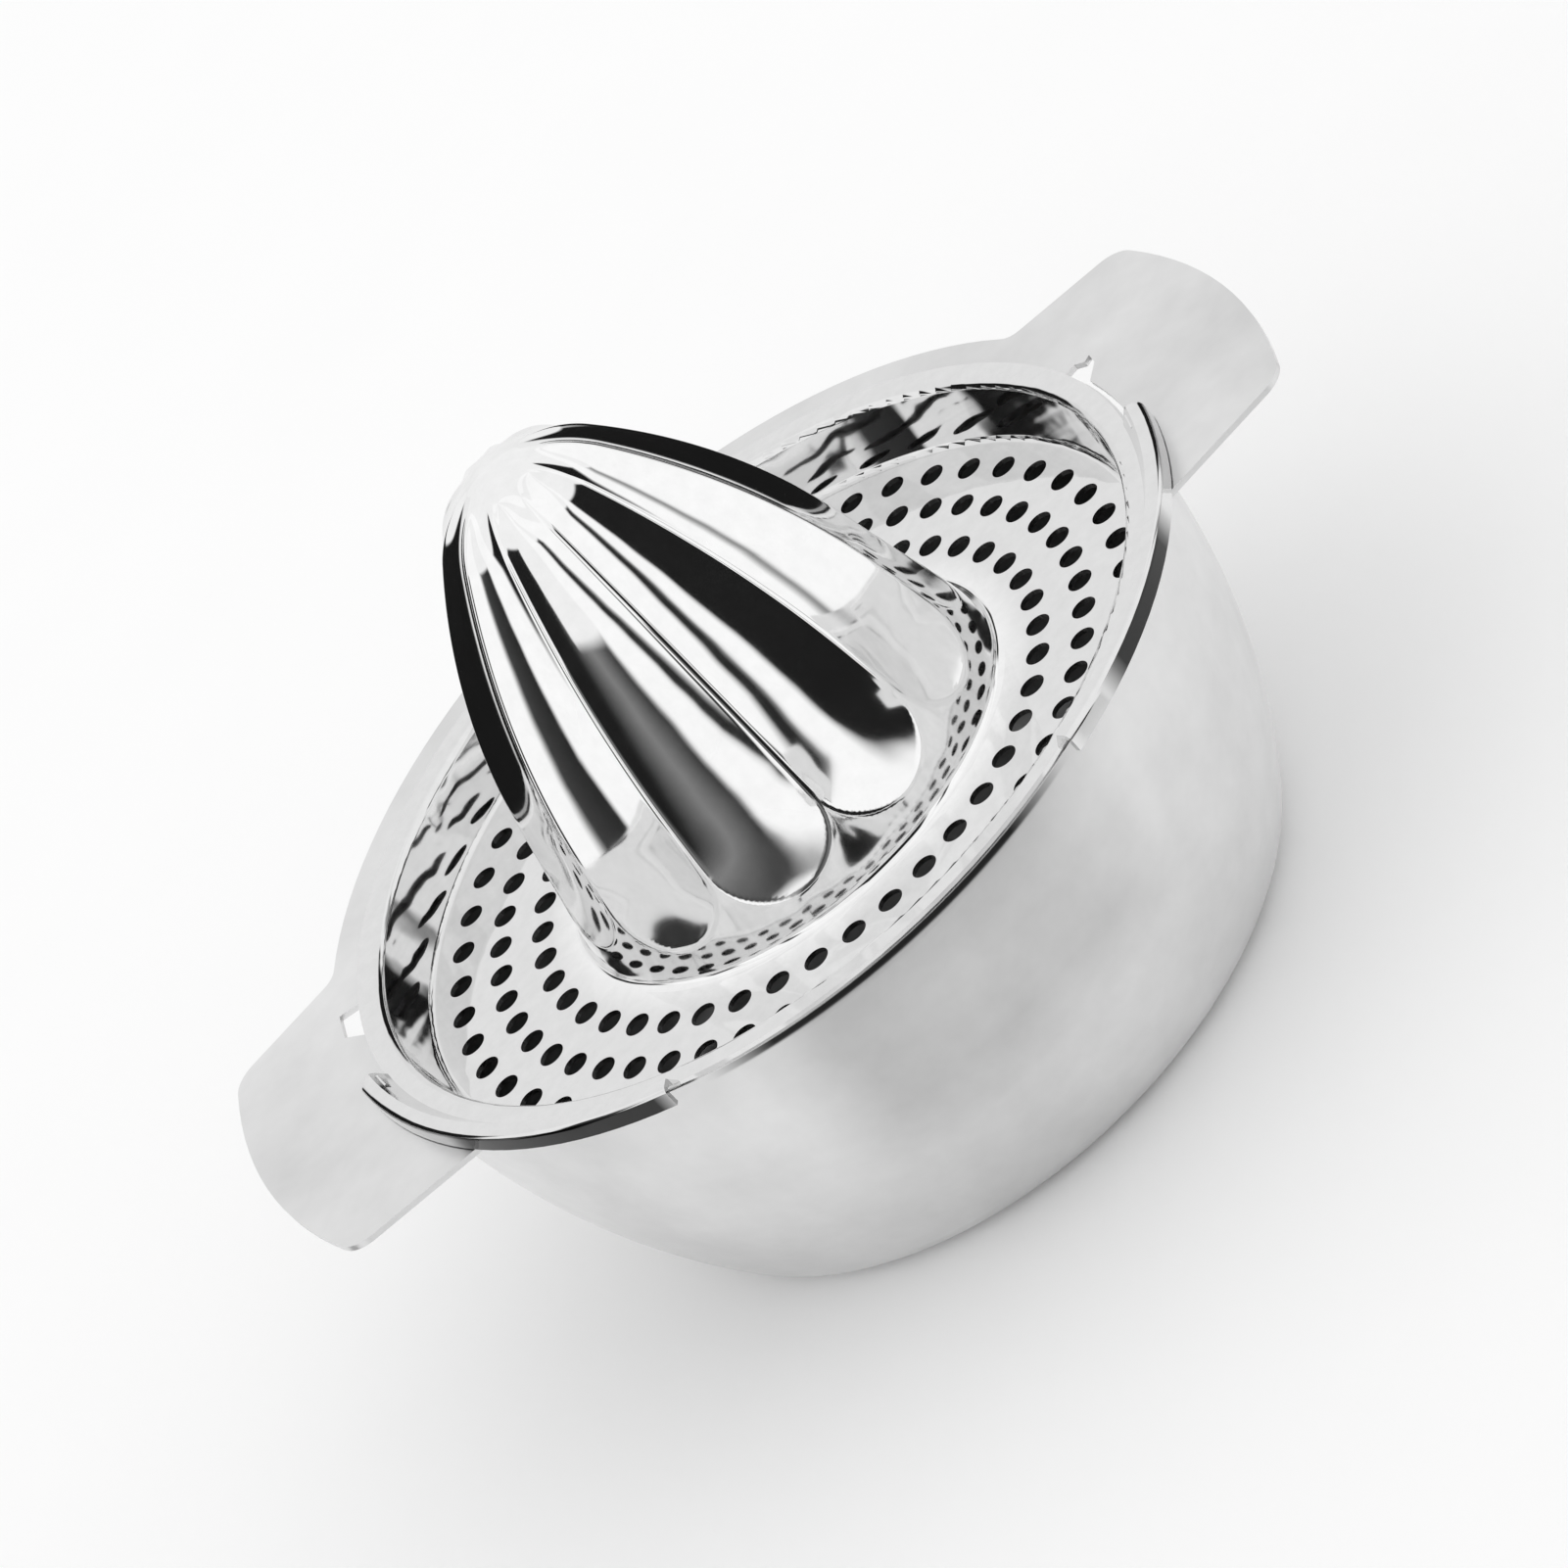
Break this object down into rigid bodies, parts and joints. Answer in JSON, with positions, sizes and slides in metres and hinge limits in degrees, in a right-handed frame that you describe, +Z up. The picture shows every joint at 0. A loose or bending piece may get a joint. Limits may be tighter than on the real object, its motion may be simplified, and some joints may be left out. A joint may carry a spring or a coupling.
{
  "type": "citrus squeezer with bowl",
  "caption": "Pressed steel bowl with two flat side ears, under a lift-off perforated strainer dish with a fluted reamer cone and lugs that seat on the rim.",
  "frame": {"origin": "middle of the bowl's flat underside", "axes": "+Z up along the reamer, X through the two ears, -Y the side of the two lugs"},
  "size_m": [0.162, 0.1262, 0.1004],
  "materials": {
    "satin_steel": "satin",
    "polished_steel": "mirror polished"
  },
  "bodies": {
    "bowl": {"juice_bowl": "satin_steel"},
    "strainer": {"strainer_reamer": "polished_steel"}
  },
  "joints": [
    {"name": "strainer_lift", "type": "slide", "parent": "bowl", "child": "strainer", "axis": [0, 0, 1], "range_m": [0, 0.06]}
  ]
}
